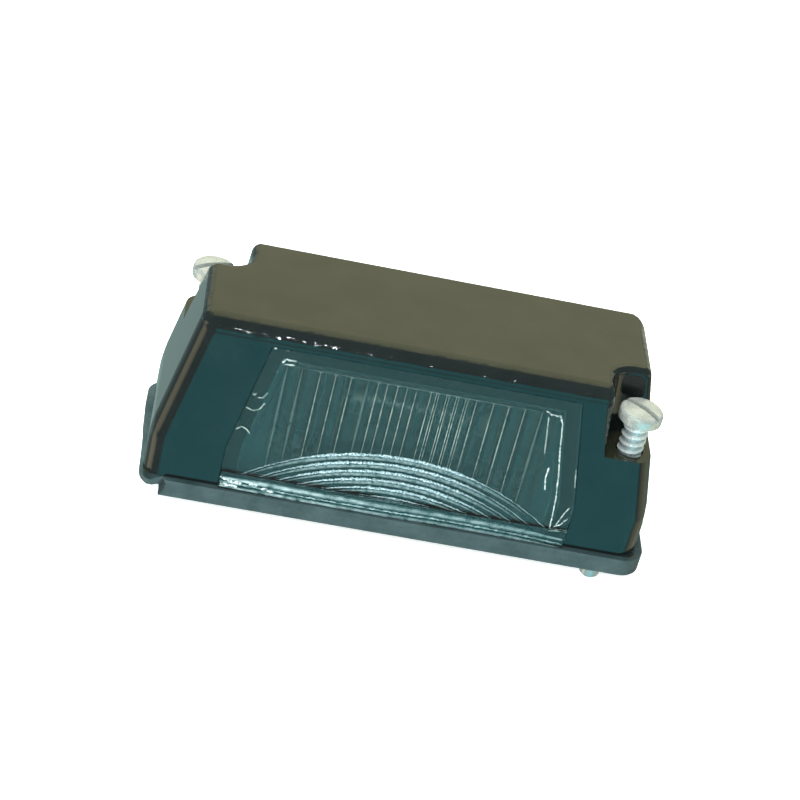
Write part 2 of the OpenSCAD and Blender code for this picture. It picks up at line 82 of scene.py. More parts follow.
LEFT_MARKS = (((-34.0, 28.5), (-33.6, 28.0), (-33.2, 28.7)),
              ((-32.8, 27.6), (-31.8, 27.7), (-31.0, 29.2)),
              ((-34.7, 24.8), (-33.2, 24.2), (-31.9, 24.9), (-31.1, 26.6)),
              ((-35.8, 19.0), (-34.7, 19.9), (-33.6, 19.4), (-32.8, 18.4)))
CORNER_MARKS = (((-29.4, 37.0), (-28.7, 38.1), (-27.9, 37.8), (-26.7, 38.0)),
                ((-29.2, 36.7), (-26.9, 36.9)), ((-31.7, 40.0), (-31.2, 40.0)),
                ((-30.2, 34.6), (-29.9, 34.5)), ((-29.0, 40.0), (-28.6, 40.1)))
LIP_LINE = ((-36.8, 5.7), (-27.3, 5.6), (-17.5, 5.4), (-2.1, 5.4), (10.1, 5.7), (24.9, 5.5),
            (36.6, 4.9))
LIP_WHITE = (((-36.9, 6.9), (-34.6, 6.2), (-32.2, 6.0)), ((-36.7, 5.2), (-33.0, 4.9)),
             ((-30.9, 6.4), (-28.9, 6.1)), ((-28.0, 5.6), (-25.4, 5.2)))

# Gasket
PAD_X, PAD_Y, PAD_R, PAD_T, LIP_T = 55.0, 18.2, 5.0, 4.0, 1.2
PULL_NEAR, PULL_FAR, DROOP = 1.4, 0.4, 1.3
UNDERCUT, TEAR_X, CREASE_X = 0.9, 48.2, 48.9
OPENING_X, OPENING_Y, OPENING_MID = 30.0, 12.0, 1.0

# Screws
SCREW_X, SCREW_Y, SCREW_R, ROOT_R, PILOT_R = 45.5, -12.3, 2.75, 2.15, 2.1
HEAD_R, HEAD_H, HEAD_ROUND = 4.6, 3.0, 0.9
SLOT_W, SLOT_D = 1.3, 1.4
SCREW_LEN, PILOT_LEN, TAPER = 41.3, 5.0, 0.5
FRONT_LIFT, REAR_LIFT = 7.8, 7.9
FRONT_TURN, REAR_TURN = -43, 25
THREAD_PITCH, THREAD_FLANK, THREAD_CREST, RUN_OUT = 1.8, 0.32, 1.25, 1.2
THREAD_SIDES, THREAD_ROWS = 56, 14
HOLE_R, BOSS_WALL = 2.95, 1.4
FLOOR_Z = -5.15

# Small bright lights beside the camera: place along x in millimetres, and power
FLASHES = ((-48, 0.18), (-32, 0.14), (-18, 0.05))

# Room: direction, angles of full and no strength, and colour of each card
ROOM_DIM = (0.22, 0.34, 0.32)
ROOM_CARDS = (((0.25, -0.82, -0.50), 24, 33, (0.18, 1.12, 1.22)),
              ((0.12, 0.83, 0.55), 22, 38, (0.85, 0.85, 0.57)),
              ((-0.37, 0.85, 0.33), 8, 17, (1.05, 1.05, 0.76)),
              ((-0.33, 0.83, -0.45), 20, 42, (0.31, 0.45, 0.42)),
              ((-0.90, -0.24, -0.37), 6, 19, (1.75, 1.55, 1.05)),
              ((-0.80, -0.11, -0.59), 6, 19, (1.75, 1.55, 1.05)),
              ((0.80, 0.0, -0.58), 14, 30, (0.82, 0.82, 0.54)),
              ((0.50, 0.83, 0.10), 15, 26, (0.90, 0.92, 0.66)))


# Camera, fitted to the photograph: focal length for a 36 mm frame, and its axes and place in metres
FOCAL = 102.593
CAMERA_PLACE = ((0.97715518, -0.17803633, -0.11606386, -0.0582194),
                (0.00340227, 0.55914761, -0.82906114, -0.4008265),
                (0.21249983, 0.80972651, 0.54697971, 0.2865199),
                (0, 0, 0, 1))


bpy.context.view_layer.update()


# Meshes

def mesh_object(name, points, faces, material=None):
    """A mesh from points in millimetres."""
    mesh = bpy.data.meshes.new(name)
    mesh.from_pydata([[c * MM for c in p] for p in points], [], faces)
    obj = bpy.data.objects.new(name, mesh)
    bpy.context.scene.collection.objects.link(obj)
    if material:
        mesh.materials.append(material)
    face_outwards(mesh)
    return obj


def face_outwards(mesh):
    bm = bmesh.new()
    bm.from_mesh(mesh)
    bmesh.ops.recalc_face_normals(bm, faces=bm.faces)
    bm.to_mesh(mesh)
    bm.free()


def from_polygons(name, polygons):
    """A closed mesh from polygons that share their corners."""
    points, index, faces = [], {}, []
    for polygon in polygons:
        face = []
        for p in polygon:
            key = tuple(round(c, 5) for c in p)
            if key not in index:
                index[key] = len(points)
                points.append(p)
            face.append(index[key])
        faces.append(face)
    return mesh_object(name, points, faces)


def prism(name, outline, low, high, axis="z"):
    """An outline pushed along z, or an x-z outline pushed along y."""
    def corner(p, t):
        return (p[0], p[1], t) if axis == "z" else (p[0], t, p[1])
    n = len(outline)
    points = [corner(p, low) for p in outline] + [corner(p, high) for p in outline]
    sides = [(i, (i + 1) % n, n + (i + 1) % n, n + i) for i in range(n)]
    return mesh_object(name, points, [tuple(range(n)), tuple(range(n, 2 * n))] + sides)


def lathe(name, profile, steps=64):
    """A profile of (radius, height) turned about z. It starts and ends on the axis."""
    inner = profile[1:-1]
    points = [(0, 0, profile[0][1])]
    for r, z in inner:
        for k in range(steps):
            a = 2 * math.pi * k / steps
            points.append((r * math.cos(a), r * math.sin(a), z))
    points.append((0, 0, profile[-1][1]))
    faces = []
    for k in range(steps):
        m = (k + 1) % steps
        faces.append((0, 1 + k, 1 + m))
        for i in range(len(inner) - 1):
            a, b = 1 + i * steps, 1 + (i + 1) * steps
            faces.append((a + k, a + m, b + m, b + k))
        last = 1 + (len(inner) - 1) * steps
        faces.append((last + k, last + m, len(points) - 1))
    return mesh_object(name, points, faces)


def circle(x, y, r, steps=48):
    return [(x + r * math.cos(2 * math.pi * k / steps), y + r * math.sin(2 * math.pi * k / steps))
            for k in range(steps)]


def rounded_rectangle(low, high, r, steps=10):
    corners = ((high[0] - r, high[1] - r, 0), (low[0] + r, high[1] - r, 90),
               (low[0] + r, low[1] + r, 180), (high[0] - r, low[1] + r, 270))
    points = []
    for x, y, start in corners:
        for k in range(steps + 1):
            a = math.radians(start + 90 * k / steps)
            points.append((x + r * math.cos(a), y + r * math.sin(a)))
    return points


def place(obj, x=0, y=0, z=0, turn=0):
    obj.data.transform(Matrix.Translation((x * MM, y * MM, z * MM))
                       @ Matrix.Rotation(math.radians(turn), 4, "Z"))
    return obj


def settle(obj):
    """Gives the object the mesh that its modifiers make."""
    bpy.context.view_layer.update()
    shown = obj.evaluated_get(bpy.context.evaluated_depsgraph_get())
    made = bpy.data.meshes.new_from_object(shown)
    obj.modifiers.clear()
    old, obj.data = obj.data, made
    bpy.data.meshes.remove(old)
    return obj


def combine(obj, other, operation):
    """Cuts another mesh from this one, or adds it, and removes the other."""
    step = obj.modifiers.new("step", "BOOLEAN")
    step.operation = operation
    step.solver = "EXACT"
    step.object = other
    settle(obj)
    bpy.data.objects.remove(other)
    return obj


def join(name, objects, slots=None):
    """One object that holds all these meshes, each with its own material slot if given."""
    bm = bmesh.new()
    for i, o in enumerate(objects):
        start = len(bm.faces)
        bm.from_mesh(o.data)
        bm.faces.ensure_lookup_table()
        for face in bm.faces[start:]:
            face.material_index = slots[i] if slots else 0
    mesh = bpy.data.meshes.new(name)
    bm.to_mesh(mesh)
    bm.free()
    for o in objects:
        bpy.data.objects.remove(o)
    obj = bpy.data.objects.new(name, mesh)
    bpy.context.scene.collection.objects.link(obj)
    return obj


def round_edges(obj, width, segments=3, angle=35):
    step = obj.modifiers.new("round", "BEVEL")
    step.width = width * MM
    step.segments = segments
    step.limit_method = "ANGLE"
    step.angle_limit = math.radians(angle)
    return settle(obj)


def smooth(obj, angle=35, weighted=True):
    obj.data.shade_smooth()
    obj.data.set_sharp_from_angle(angle=math.radians(angle))
    if weighted:
        step = obj.modifiers.new("weighted", "WEIGHTED_NORMAL")
        step.keep_sharp = True
        step.weight = 80
    return obj


def finish_piece(obj, materials, slot, *nodes):
    """Give a piece its materials, hang it from the root, and hide the CAD parts of the nodes that it
    shows.
    """
    faces = obj.data.polygons
    kept = [0] * len(faces)
    faces.foreach_get("material_index", kept)
    obj.data.materials.clear()
    for material in materials:
        obj.data.materials.append(material)
    faces.foreach_set("material_index", kept)
    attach(obj, "root")
    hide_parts(*nodes)
    return obj


# Materials

def new_material(name):
    material = bpy.data.materials.new(name)
    material.use_nodes = True
    tree = material.node_tree
    return material, tree, tree.nodes["Principled BSDF"]


def noise(tree, scale, detail=4.0, roughness=0.55, stretch=(1, 1, 1), seed=0.0):
    """Noise over the object's own coordinates, with scale in cells per millimetre."""
    where = tree.nodes.new("ShaderNodeTexCoord")
    fit = tree.nodes.new("ShaderNodeMapping")
    fit.inputs["Scale"].default_value = [1000 * s for s in stretch]
    fit.inputs["Location"].default_value = (seed, seed, seed)
    tree.links.new(where.outputs["Object"], fit.inputs["Vector"])
    node = tree.nodes.new("ShaderNodeTexNoise")
    node.inputs["Scale"].default_value = scale
    node.inputs["Detail"].default_value = detail
    node.inputs["Roughness"].default_value = roughness
    tree.links.new(fit.outputs["Vector"], node.inputs["Vector"])
    return node.outputs["Fac"]


def spread(tree, value, low, high, out_low, out_high):
    """Maps a range of values to another, held at its ends."""
    node = tree.nodes.new("ShaderNodeMapRange")
    node.inputs["From Min"].default_value = low
    node.inputs["From Max"].default_value = high
    node.inputs["To Min"].default_value = out_low
    node.inputs["To Max"].default_value = out_high
    tree.links.new(value, node.inputs["Value"])
    return node.outputs["Result"]


def between(tree, factor, first, second):
    """A colour between two, by a factor."""
    node = tree.nodes.new("ShaderNodeMix")
    node.data_type = "RGBA"
    node.inputs["A"].default_value = (*first, 1)
    node.inputs["B"].default_value = (*second, 1)
    tree.links.new(factor, node.inputs["Factor"])
    return node.outputs["Result"]


def math_step(tree, operation, first, second=0.0):
    """One step of arithmetic on a value; the second may be a value or a number."""
    node = tree.nodes.new("ShaderNodeMath")
    node.operation = operation
    tree.links.new(first, node.inputs[0])
    if isinstance(second, float):
        node.inputs[1].default_value = second
    else:
        tree.links.new(second, node.inputs[1])
    return node.outputs[0]


def bump(tree, height, strength, distance, shader, under=None):
    node = tree.nodes.new("ShaderNodeBump")
    node.inputs["Strength"].default_value = strength
    node.inputs["Distance"].default_value = distance * MM
    tree.links.new(height, node.inputs["Height"])
    if under:
        tree.links.new(under, node.inputs["Normal"])
    tree.links.new(node.outputs["Normal"], shader.inputs["Normal"])
    return node.outputs["Normal"]


def normal_z(tree):
    where = tree.nodes.new("ShaderNodeTexCoord")
    split = tree.nodes.new("ShaderNodeSeparateXYZ")
    tree.links.new(where.outputs["Normal"], split.inputs["Vector"])
    return split.outputs["Z"]


def facing_up(tree):
    """1 on faces that look up and 0 on upright ones."""
    return spread(tree, normal_z(tree), 0.86, 0.995, 0, 1)


def on_rounding(tree):
    """1 on the roundings between the top and the sides, and 0 on either."""
    z = normal_z(tree)
    above = spread(tree, z, 0.3, 0.45, 0, 1)
    below = spread(tree, z, 0.9, 0.98, 1, 0)
    return math_step(tree, "MULTIPLY", above, below)


def mixed(tree, factor, first, second):
    """A colour between two that other nodes give."""
    node = tree.nodes.new("ShaderNodeMix")
    node.data_type = "RGBA"
    tree.links.new(first, node.inputs["A"])
    tree.links.new(second, node.inputs["B"])
    tree.links.new(factor, node.inputs["Factor"])
    return node.outputs["Result"]


def gloss_black():
    material, tree, shader = new_material("gloss_black")
    haze = spread(tree, noise(tree, 0.12, detail=3), 0.35, 0.65, 0, 1)
    bare = between(tree, haze, (0.005, 0.006, 0.006), (0.007, 0.009, 0.009))
    # Painted light: faces that look up get a lighter, warmer olive colour, standing in for the light
    # that falls on the top.
    painted_top_light = between(tree, haze, (0.020, 0.021, 0.013), (0.024, 0.025, 0.016))
    tree.links.new(mixed(tree, facing_up(tree), bare, painted_top_light), shader.inputs["Base Color"])
    smear = noise(tree, 0.35, detail=5, seed=4)
    tree.links.new(spread(tree, smear, 0.3, 0.7, 0.02, 0.06), shader.inputs["Roughness"])
    shader.inputs["IOR"].default_value = 1.5
    peel = bump(tree, noise(tree, 0.55, detail=2), 0.06, 0.25, shader)
    waves = math_step(tree, "MULTIPLY", noise(tree, 0.45, detail=2, seed=5), on_rounding(tree))
    wavy = bump(tree, waves, 1.0, 0.35, shader, peel)
    bump(tree, noise(tree, 3.5, detail=3, seed=9), 0.08, 0.03, shader, wavy)
    return material


def painted_glint(name, dim, bright, low, high, grain, fade=None):
    """Painted glints and sheen on the lens: a colour that is dim and bright in small grains, dimmer
    away from fade's middle.
    """
    material, tree, shader = new_material(name)
    cover = spread(tree, noise(tree, grain, detail=3, roughness=0.6), low, high, 0, 1)
    if fade:
        middle, reach = fade
        where = tree.nodes.new("ShaderNodeTexCoord")
        split = tree.nodes.new("ShaderNodeSeparateXYZ")
        tree.links.new(where.outputs["Object"], split.inputs["Vector"])
        along = math_step(tree, "SUBTRACT", split.outputs["X"], middle * MM)
        away = math_step(tree, "ABSOLUTE", along)
        near = spread(tree, away, 0.5 * reach * MM, reach * MM, 1, 0.4)
        cover = math_step(tree, "MULTIPLY", cover, near)
    # Painted highlight: the bright colour stands in for light glinting off the lens.
    tree.links.new(between(tree, cover, dim, bright), shader.inputs["Base Color"])
    tree.links.new(spread(tree, cover, 0, 1, 0.25, 0.5), shader.inputs["Roughness"])
    bump(tree, noise(tree, 2.5, detail=4, seed=8), 0.3, 0.08, shader)
    return material


def rubber():
    material, tree, shader = new_material("rubber")
    cloud = noise(tree, 0.16, detail=6, roughness=0.65)
    tree.links.new(between(tree, spread(tree, cloud, 0.3, 0.7, 0, 1), (0.024, 0.044, 0.047),
                           (0.05, 0.078, 0.082)), shader.inputs["Base Color"])
    tree.links.new(spread(tree, noise(tree, 1.2, seed=3), 0.3, 0.7, 0.55, 0.8),
                   shader.inputs["Roughness"])
    first = bump(tree, noise(tree, 0.8, detail=4, seed=5), 0.25, 0.3, shader)
    bump(tree, noise(tree, 5.0, detail=4), 0.3, 0.06, shader, first)
    return material


def metal(name, dark, light, rough=(0.22, 0.42), scale=0.6, grain=0.15, metallic=1.0):
    material, tree, shader = new_material(name)
    tree.links.new(between(tree, spread(tree, noise(tree, scale, detail=5), 0.32, 0.68, 0, 1),
                           dark, light), shader.inputs["Base Color"])
    tree.links.new(spread(tree, noise(tree, scale * 2, detail=5, seed=7), 0.3, 0.7, *rough),
                   shader.inputs["Roughness"])
    shader.inputs["Metallic"].default_value = metallic
    bump(tree, noise(tree, 4.0, detail=4, seed=2), grain, 0.05, shader)
    return material


def plated_steel(side, head_z):
    """Plating with a lighter colour on the crests of the thread, a painted highlight, a darker one in
    its roots, a painted shade, and a duller one on the head.
    """
    material, tree, shader = new_material("plated_steel")
    where = tree.nodes.new("ShaderNodeTexCoord")
    axis = tree.nodes.new("ShaderNodeMapping")
    axis.inputs["Location"].default_value = (-side * SCREW_X * MM, -side * SCREW_Y * MM, 0)
    split = tree.nodes.new("ShaderNodeSeparateXYZ")
    tree.links.new(where.outputs["Object"], axis.inputs["Vector"])
    tree.links.new(axis.outputs["Vector"], split.inputs["Vector"])
    across = [math_step(tree, "MULTIPLY", split.outputs[axis_name], split.outputs[axis_name])
              for axis_name in "XY"]
    squares = math_step(tree, "ADD", *across)
    crest = spread(tree, math_step(tree, "SQRT", squares), 2.18 * MM, 2.5 * MM, 0, 1)
    head = spread(tree, split.outputs["Z"], head_z * MM, (head_z + 0.3) * MM, 0, 1)
    cloud = spread(tree, noise(tree, 0.6, detail=5), 0.32, 0.68, 0, 1)
    # Painted shade: the roots of the thread get a darker colour, and the crests a lighter one as a
    # painted highlight.
    shaded_root_colour = between(tree, cloud, (0.30, 0.35, 0.36), (0.40, 0.45, 0.46))
    lit_crest_colour = between(tree, cloud, (0.66, 0.70, 0.69), (0.78, 0.81, 0.80))
    head_colour = between(tree, cloud, (0.38, 0.40, 0.38), (0.50, 0.52, 0.49))
    shank = mixed(tree, crest, shaded_root_colour, lit_crest_colour)
    tree.links.new(mixed(tree, head, shank, head_colour), shader.inputs["Base Color"])
    tree.links.new(spread(tree, noise(tree, 1.2, detail=5, seed=7), 0.3, 0.7, 0.22, 0.4),
                   shader.inputs["Roughness"])
    shader.inputs["Metallic"].default_value = 0.55
    bump(tree, noise(tree, 1.2, detail=3, seed=2), 0.1, 0.08, shader)
    return material


def plastic(name, dark, light, rough=(0.4, 0.6)):
    material, tree, shader = new_material(name)
    tree.links.new(between(tree, spread(tree, noise(tree, 0.3, detail=4), 0.3, 0.7, 0, 1),
                           dark, light), shader.inputs["Base Color"])
    tree.links.new(spread(tree, noise(tree, 1.0, seed=3), 0.3, 0.7, *rough),
                   shader.inputs["Roughness"])
    bump(tree, noise(tree, 3.0, detail=4), 0.15, 0.05, shader)
    return material


def clear(name, tint, rough, ior=1.49, through=1.0):
    material, tree, shader = new_material(name)
    shader.inputs["Transmission Weight"].default_value = through
    shader.inputs["IOR"].default_value = ior
    tree.links.new(between(tree, spread(tree, noise(tree, 0.2, detail=3), 0.3, 0.7, 0, 1),
                           tint, [c * 0.92 for c in tint]), shader.inputs["Base Color"])
    tree.links.new(spread(tree, noise(tree, 1.5, detail=5, seed=6), 0.35, 0.7, *rough),
                   shader.inputs["Roughness"])
    bump(tree, noise(tree, 0.5, detail=3), 0.03, 0.2, shader)
    return material


# Hood

def end_x(z, foot_x):
    return foot_x - max(z - KNEE_Z, 0) * END_SLOPE


def hood_cage(name, side, front, back, top, z0):
    """The hood's form with sharp edges and no notches, drawn in by a wall on each side."""
    foot_x, y0, y1, z1 = FOOT_X - side, -SIDE_Y + front, SIDE_Y - back, TOP_Z - top
    x1 = end_x(z1, foot_x)
    polygons = [[(-x1, y0, z1), (x1, y0, z1), (x1, y1, z1), (-x1, y1, z1)],
                [(-foot_x, y0, z0), (foot_x, y0, z0), (foot_x, y1, z0), (-foot_x, y1, z0)]]
    for y in (y0, y1):
        polygons.append([(-foot_x, y, z0), (foot_x, y, z0), (foot_x, y, KNEE_Z), (x1, y, z1),
                         (-x1, y, z1), (-foot_x, y, KNEE_Z)])
    for s in (1, -1):
        polygons.append([(s * foot_x, y0, z0), (s * foot_x, y1, z0), (s * foot_x, y1, KNEE_Z),
                         (s * foot_x, y0, KNEE_Z)])
        polygons.append([(s * foot_x, y0, KNEE_Z), (s * foot_x, y1, KNEE_Z), (s * x1, y1, z1),
                         (s * x1, y0, z1)])
    return from_polygons(name, polygons)


def edge_radius(a, b):
    """How round the hood is along the edge between two corners."""
    def both(test):
        return test(a) and test(b)

    def near(p, q):
        return abs(p - q) < 0.01
    front = both(lambda p: near(p[1], -SIDE_Y))
    back = both(lambda p: near(p[1], SIDE_Y))
    if both(lambda p: near(p[2], FOOT_Z)):
        return 0.4
    if both(lambda p: near(p[2], TOP_Z)):
        return 4.0 if front else 1.6 if back else 2.0
    if both(lambda p: near(p[2], KNEE_Z)):
        return 3.0
    return 4.5 if back and a[0] > 0 else 4.0


def round_by(obj, radius, widest, segments):
    """Rounds each edge by its own radius, which a function of the edge gives."""
    mesh = obj.data
    old = mesh.attributes.get("bevel_weight_edge")
    if old:
        mesh.attributes.remove(old)
    weights = mesh.attributes.new("bevel_weight_edge", "FLOAT", "EDGE")
    for edge in mesh.edges:
        weights.data[edge.index].value = radius(edge) / widest
    step = obj.modifiers.new("round", "BEVEL")
    step.width = widest * MM
    step.segments = segments
    step.limit_method = "WEIGHT"
    step.use_clamp_overlap = False
    return settle(obj)


def round_cage(obj):
    points = obj.data.vertices
    return round_by(obj, lambda e: edge_radius(*[points[i].co / MM for i in e.vertices]),
                    WIDEST_ROUND, 8)


def notch_plan(z, grow):
    """The notch's plan at a height: its side wall leans and its inner corner is round."""
    x = NOTCH_TOP_X + (TOP_Z - z) * NOTCH_LEAN
    plan = [(CUT_PAST_X, -NOTCH_Y + grow), (CUT_PAST_X, CUT_PAST_Y), (x - grow, CUT_PAST_Y)]
    for k in range(11):
        a = math.radians(180 - 90 * k / 10)
        plan.append((x + NOTCH_R + (NOTCH_R + grow) * math.cos(a),
                     -NOTCH_Y - NOTCH_R + (NOTCH_R + grow) * math.sin(a)))
    return plan


def notch_cutter(side, grow):
    z0, z1 = NOTCH_Z - grow, TOP_Z + 6
    low, high = notch_plan(z0, grow), notch_plan(z1, grow)
    n = len(low)
    points = [(side * x, side * y, z0) for x, y in low] + [(side * x, side * y, z1) for x, y in high]
    sides = [(i, (i + 1) % n, n + (i + 1) % n, n + i) for i in range(n)]
    return mesh_object("notch", points, [tuple(range(n)), tuple(range(n, 2 * n))] + sides)


def notch_radii(obj):
    """How round each edge that a notch has cut is: all but those of its floor."""
    bm = bmesh.new()
    bm.from_mesh(obj.data)
    bm.edges.ensure_lookup_table()
    radii = []
    for edge in bm.edges:
        radius = 0.0
        a, b = [v.co / MM for v in edge.verts]
        inside = all(abs(p[0]) > NOTCH_FROM_X and p[0] * p[1] < 0 and abs(p[1]) > NOTCH_Y - 2
                     and p[2] > NOTCH_Z - NEAR for p in (a, b))
        if inside and len(edge.link_faces) == 2 and edge.is_convex \
                and edge.calc_face_angle(0) > math.radians(40):
            at_floor = max(a[2], b[2]) < NOTCH_Z + NEAR
            radius = 0.0 if at_floor else NOTCH_ROUND
        radii.append(radius)
    bm.free()
    return radii


def hood_cavity():
    cavity = hood_cage("cavity", WALL, FRONT_WALL, WALL, WALL, FOOT_Z - 1)
    for s in (1, -1):
        combine(cavity, notch_cutter(s, WALL), "DIFFERENCE")
        tube = prism("tube", circle(s * SCREW_X, s * SCREW_Y, HOLE_R + BOSS_WALL),
                     FOOT_Z, NOTCH_Z)
        combine(cavity, tube, "DIFFERENCE")
    return cavity


def make_hood(material):
    hood = round_cage(hood_cage("hood_shell", 0, 0, 0, 0, FOOT_Z))
    for s in (1, -1):
        combine(hood, notch_cutter(s, 0), "DIFFERENCE")
    radii = notch_radii(hood)
    round_by(hood, lambda e: radii[e.index], WIDEST_ROUND, 5)
    combine(hood, hood_cavity(), "DIFFERENCE")
    combine(hood, prism("seat", lens_outline(-LENS_GAP, FOOT_Z - 1), -SIDE_Y - 2, SEAT_Y, "y"),
            "DIFFERENCE")
    combine(hood, prism("window", lens_outline(FLANGE_W, FOOT_Z - 1), SEAT_Y - 1, WALL_Y + 1, "y"),
            "DIFFERENCE")
    for s in (1, -1):
        hole = prism("hole", circle(s * SCREW_X, s * SCREW_Y, HOLE_R), FOOT_Z - 2, NOTCH_Z + 1)
        combine(hood, hole, "DIFFERENCE")
    smooth(hood, 32)
    return finish_piece(hood, [material], "hood", "hood")


# Lens

def lens_half(z, d):
    """Half the width of the lens outline at a height, drawn in by d."""
    return LENS_FOOT - d - max(z - KNEE_Z, 0) * LENS_SLOPE


def lens_outline(d, z0):
    """The lens outline from a height up to its top, drawn in by d."""
    z1 = LENS_TOP_Z - d
    foot, top = lens_half(z0, d), lens_half(z1, d)
    return [(-foot, z0), (foot, z0), (foot, KNEE_Z), (top, z1), (-top, z1), (-foot, KNEE_Z)]


def flute_comb():
    """The flutes behind the pane, each a shallow crown between two lines."""
    outline = [(FLUTE_LINES[0], PANE_BACK - RIB_ROOT)]
    for x0, x1 in zip(FLUTE_LINES, FLUTE_LINES[1:]):
        crown = 0.13 * (x1 - x0) + 0.05
        for k in range(6):
            t = k / 6
            outline.append((x0 + (x1 - x0) * t, PANE_BACK + 4 * crown * t * (1 - t)))
    outline += [(FLUTE_LINES[-1], PANE_BACK), (FLUTE_LINES[-1], PANE_BACK - RIB_ROOT)]
    return prism("flutes", outline, FOOT_Z + 0.5, FLUTE_TOP)


def fan_rings():
    """The curved prisms: one saw-tooth ring about a centre below the lamp."""
    r0 = FAN_R - FAN_COUNT * FAN_PITCH
    profile = [(FAN_R, -RIB_ROOT), (r0, -RIB_ROOT)]
    for i in range(FAN_COUNT):
        for t, h in PRISM_PROFILE:
            profile.append((r0 + (i + t) * FAN_PITCH, h))
    steps, n = FAN_STEPS, len(profile)
    points, faces = [], []
    for k in range(steps + 1):
        a = math.radians(FAN_START + FAN_SWEEP * k / steps)
        for r, h in profile:
            points.append((r * math.cos(a), PANE_BACK + h, FAN_Z + r * math.sin(a)))
    for k in range(steps):
        for i in range(n):
            j = (i + 1) % n
            faces.append((k * n + i, k * n + j, (k + 1) * n + j, (k + 1) * n + i))
    faces += [tuple(range(n)), tuple(range(steps * n, (steps + 1) * n))]
    return mesh_object("rings", points, faces)


def bead(path, width, height, face_y=LENS_Y, jitter=None, taper=0):
    """A low ridge along (x, z) points on a face of the lens, thin near its ends if tapered."""
    n = len(path)
    points = []
    for i, (x, z) in enumerate(path):
        (ax, az), (bx, bz) = path[max(i - 1, 0)], path[min(i + 1, n - 1)]
        size = math.hypot(bx - ax, bz - az)
        half = width / 2 * (0.35 if i in (0, n - 1) else 1.0)
        if taper:
            half *= min(1.0, (min(i, n - 1 - i) + 1) / taper)
        if jitter:
            half *= jitter.uniform(0.45, 1.3)
            z += jitter.uniform(-0.09, 0.09)
            x += jitter.uniform(-0.05, 0.05)
        ux, uz = -(bz - az) / size * half, (bx - ax) / size * half
        points += [(x + ux, face_y + BEAD_SUNK, z + uz), (x, face_y - height, z),
                   (x - ux, face_y + BEAD_SUNK, z - uz)]
    faces = [(0, 1, 2), (3 * n - 3, 3 * n - 2, 3 * n - 1)]
    for i in range(n - 1):
        a, b = 3 * i, 3 * i + 3
        faces += [(a, a + 1, b + 1, b), (a + 1, a + 2, b + 2, b + 1), (a + 2, a, b, b + 2)]
    return mesh_object("bead", points, faces)


def steps_between(path, step):
    """The path with points added, so that no stretch is longer than a step."""
    out = [path[0]]
    for (ax, az), (bx, bz) in zip(path, path[1:]):
        n = max(1, int(math.hypot(bx - ax, bz - az) / step))
        out += [(ax + (bx - ax) * k / n, az + (bz - az) * k / n) for k in range(1, n + 1)]
    return out


def fan_path(i, step=0.35):
    r = FACE_FAN_R - i * FACE_FAN_PITCH
    reach = math.acos((FACE_FAN_LOW - FACE_FAN_Z) / r)
    n = int(2 * reach * r / step)
    return [(FACE_FAN_X + r * math.sin(a), FACE_FAN_Z + r * math.cos(a))
            for a in (-reach + 2 * reach * k / n for k in range(n + 1))]


def line_path(x):
    foot = FACE_FAN_Z + math.sqrt(FACE_FAN_R ** 2 - (x - FACE_FAN_X) ** 2)
    return [(x, FACE_LINE_TOP), (x, (FACE_LINE_TOP + foot) / 2), (x, foot + 0.3)]


def line_beads():
    """Painted highlights along the flutes' edges, each with a small tick across both ends, and the
    dimmer painted glints.
    """
    beads = [bead(line_path(x), 0.22, 0.06) for x in FACE_LINES]
    beads += [bead(steps_between(path, 0.3), 0.3, 0.06) for path in DIM_MARKS + LEFT_MARKS]
    for x in PAIRED_LINES:
        beads += [bead(line_path(x - 0.24), 0.22, 0.06), bead(line_path(x + 0.26), 0.2, 0.06)]
    for x in FACE_LINES + PAIRED_LINES:
        beads.append(bead([(x - 0.5, FACE_LINE_TOP + 0.05), (x + 0.5, FACE_LINE_TOP)], 0.22, 0.06))
        beads.append(bead([(x - 0.3, line_path(x)[2][1]), (x + 0.3, line_path(x)[2][1])], 0.4, 0.07))
    return beads


def faint_beads():
    """Broad faint painted highlight lines beside the flutes' edges, and the one along their tops."""
    beads = [bead(line_path(x), 0.6, 0.05) for x in FAINT_LINES]
    beads.append(bead(WINDOW_TOP, 0.26, 0.06))
    return beads


def fan_beads():
    """Rough white painted highlight lines along the curved prisms, broader in their middles."""
    rough_hand = random.Random(11)
    beads = []
    for i in range(FAN_COUNT):
        path = fan_path(i)
        wide = [p for p in path if FAN_WIDE[0] < p[0] < FAN_WIDE[1]]
        beads.append(bead(path, 0.26, 0.07, jitter=rough_hand))
        if len(wide) > 1:
            beads.append(bead(wide, 0.85, 0.05, jitter=rough_hand, taper=30))
    return beads


def painted_fan_sheen():
    """Bands of painted sheen between the curved lines."""
    bands = []
    for i in range(FAN_COUNT):
        path = [(x, z - 0.8) for x, z in fan_path(i) if FAN_WIDE[0] - 6 < x < FAN_WIDE[1] + 8]
        bands.append(bead(path, 1.0, 0.03, taper=40))
    return bands


def white_beads():
    """The brightest painted glints: at the right edge, the upper corner and the left of the lip."""
    rough_hand = random.Random(5)
    paths = [WINDOW_RIGHT] + list(RIGHT_MARKS)
    beads = [bead(steps_between(path, 0.3), 0.36, 0.07, jitter=rough_hand) for path in paths]
    beads += [bead(steps_between(path, 0.25), 0.5, 0.07, jitter=rough_hand)
              for path in CORNER_MARKS]
    beads += [bead(steps_between(path, 0.2), 0.9, 0.07, LENS_Y - LIP_OUT, rough_hand)
              for path in LIP_WHITE]
    return beads


def lip_beads():
    """The pale painted highlight along the lip."""
    rough_hand = random.Random(3)
    return [bead(steps_between(LIP_LINE, 0.3), 0.5, 0.06, LENS_Y - LIP_OUT, rough_hand)]


def painted_lip_sheen():
    """Two broad strips of painted sheen along the face of the lip, above and below its line."""
    upper = [(x, z + 1.15) for x, z in LIP_LINE]
    lower = [(x, min(z - 1.0, FOOT_Z + 0.6)) for x, z in LIP_LINE]
    return [bead(upper, 1.5, 0.03, LENS_Y - LIP_OUT), bead(lower, 1.0, 0.03, LENS_Y - LIP_OUT)]


